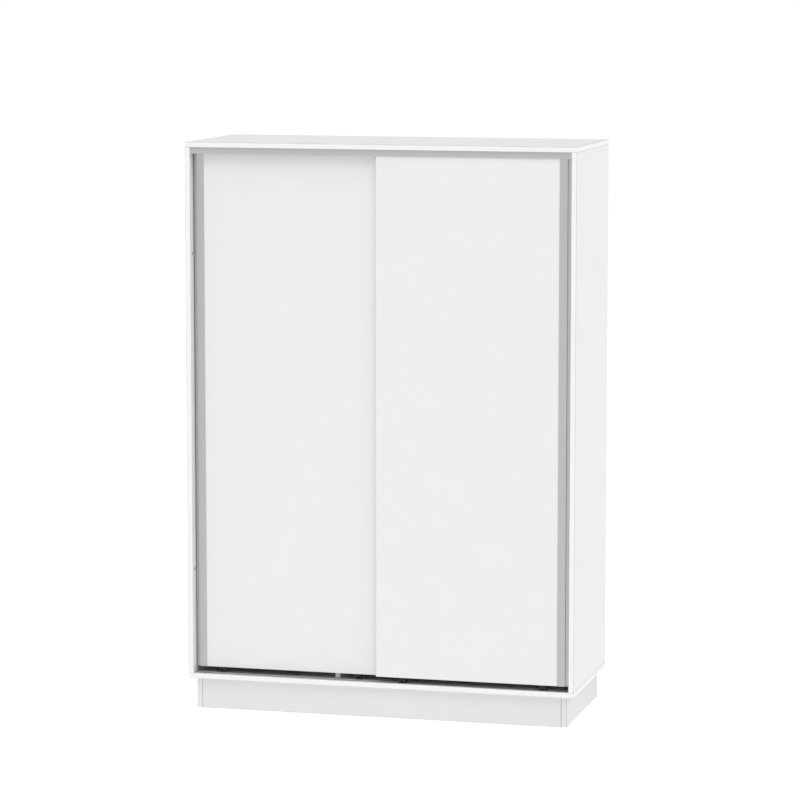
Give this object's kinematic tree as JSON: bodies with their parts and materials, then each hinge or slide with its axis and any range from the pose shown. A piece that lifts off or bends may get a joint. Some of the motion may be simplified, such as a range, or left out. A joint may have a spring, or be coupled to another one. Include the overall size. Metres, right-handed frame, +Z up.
{
  "type": "sliding door wardrobe",
  "caption": "Low freestanding wardrobe on a recessed plinth, with bypassing sliding doors, full height grip profiles, shelves and a hanging space.",
  "frame": {"origin": "on the floor, at the middle of the footprint", "axes": "+X to the right of someone facing the doors, +Y from the doors to the back, +Z up"},
  "size_m": [1.2, 0.48, 1.73],
  "materials": {
    "melamine_board": "white melamine-faced chipboard, satin",
    "edging": "white ABS edging",
    "hardboard": "hardboard, white lacquer on the inner face",
    "anodised_aluminium": "anodised satin",
    "zinc_plated_steel": "zinc plated",
    "chromed_steel": "polished",
    "zinc_alloy": "die-cast, matt",
    "black_steel": "blackened",
    "nylon": "moulded, matt",
    "beech": "turned and fluted",
    "buffer_rubber": "matt"
  },
  "bodies": {
    "carcass": {"top_panel": "melamine_board", "top_edging": "edging", "bottom_panel": "melamine_board", "bottom_edging": "edging", "side_panel_left": "melamine_board", "side_panel_right": "melamine_board", "side_edging_left": "edging", "side_edging_right": "edging", "partition": "melamine_board", "partition_edging": "edging", "hat_shelf": "melamine_board", "shelf_1": "melamine_board", "shelf_2": "melamine_board", "shelf_3": "melamine_board", "shelf_4": "melamine_board", "shelf_edging": "edging", "back_panel_left": "hardboard", "back_panel_right": "hardboard", "back_nails": "zinc_plated_steel", "plinth_front": "melamine_board", "plinth_back": "melamine_board", "plinth_side_left": "melamine_board", "plinth_side_right": "melamine_board", "plinth_middle": "melamine_board", "plinth_blocks": "nylon", "plinth_screws": "zinc_plated_steel", "floor_glides": "nylon", "top_track": "anodised_aluminium", "track_screws": "zinc_plated_steel", "bottom_track_front": "anodised_aluminium", "bottom_track_rear": "anodised_aluminium", "hanging_rail": "chromed_steel", "rail_sockets": "chromed_steel", "rail_socket_screws": "zinc_plated_steel", "shelf_pins": "chromed_steel", "cam_discs": "zinc_alloy", "cam_bolts": "zinc_plated_steel", "dowels": "beech", "partition_screws": "black_steel", "wall_brackets": "zinc_plated_steel", "wall_bracket_screws": "zinc_plated_steel", "door_buffers": "buffer_rubber"},
    "left_door": {"left_door_panel": "melamine_board", "left_door_edging": "edging", "left_door_grip": "anodised_aluminium", "left_door_guides": "nylon", "left_door_roller_brackets": "zinc_plated_steel", "left_door_bracket_screws": "zinc_plated_steel", "left_door_axles": "zinc_plated_steel"},
    "right_door": {"right_door_panel": "melamine_board", "right_door_edging": "edging", "right_door_grip": "anodised_aluminium", "right_door_guides": "nylon", "right_door_roller_brackets": "zinc_plated_steel", "right_door_bracket_screws": "zinc_plated_steel", "right_door_axles": "zinc_plated_steel"},
    "left_wheel_outer": {"left_door_wheel_outer": "nylon"},
    "left_wheel_inner": {"left_door_wheel_inner": "nylon"},
    "right_wheel_outer": {"right_door_wheel_outer": "nylon"},
    "right_wheel_inner": {"right_door_wheel_inner": "nylon"}
  },
  "joints": [
    {"name": "left_door_slide", "type": "slide", "parent": "carcass", "child": "left_door", "axis": [1, 0, 0], "range_m": [0, 0.573]},
    {"name": "right_door_slide", "type": "slide", "parent": "carcass", "child": "right_door", "axis": [1, 0, 0], "range_m": [-0.573, 0]},
    {"name": "left_wheel_outer_spin", "type": "hinge", "parent": "left_door", "child": "left_wheel_outer", "pos_m": [-0.502, -0.2072, 0.1153], "axis": [0, 1, 0], "range_deg": [0, 3000]},
    {"name": "left_wheel_inner_spin", "type": "hinge", "parent": "left_door", "child": "left_wheel_inner", "pos_m": [-0.071, -0.2072, 0.1153], "axis": [0, 1, 0], "range_deg": [0, 3000]},
    {"name": "right_wheel_outer_spin", "type": "hinge", "parent": "right_door", "child": "right_wheel_outer", "pos_m": [0.502, -0.228, 0.1153], "axis": [0, 1, 0], "range_deg": [-3000, 0]},
    {"name": "right_wheel_inner_spin", "type": "hinge", "parent": "right_door", "child": "right_wheel_inner", "pos_m": [0.071, -0.228, 0.1153], "axis": [0, 1, 0], "range_deg": [-3000, 0]}
  ],
  "couplings": [
    {"joint": "left_wheel_outer_spin", "follows": "left_door_slide", "rad_per_m": 90.909},
    {"joint": "left_wheel_inner_spin", "follows": "left_door_slide", "rad_per_m": 90.909},
    {"joint": "right_wheel_outer_spin", "follows": "right_door_slide", "rad_per_m": 90.909},
    {"joint": "right_wheel_inner_spin", "follows": "right_door_slide", "rad_per_m": 90.909}
  ]
}
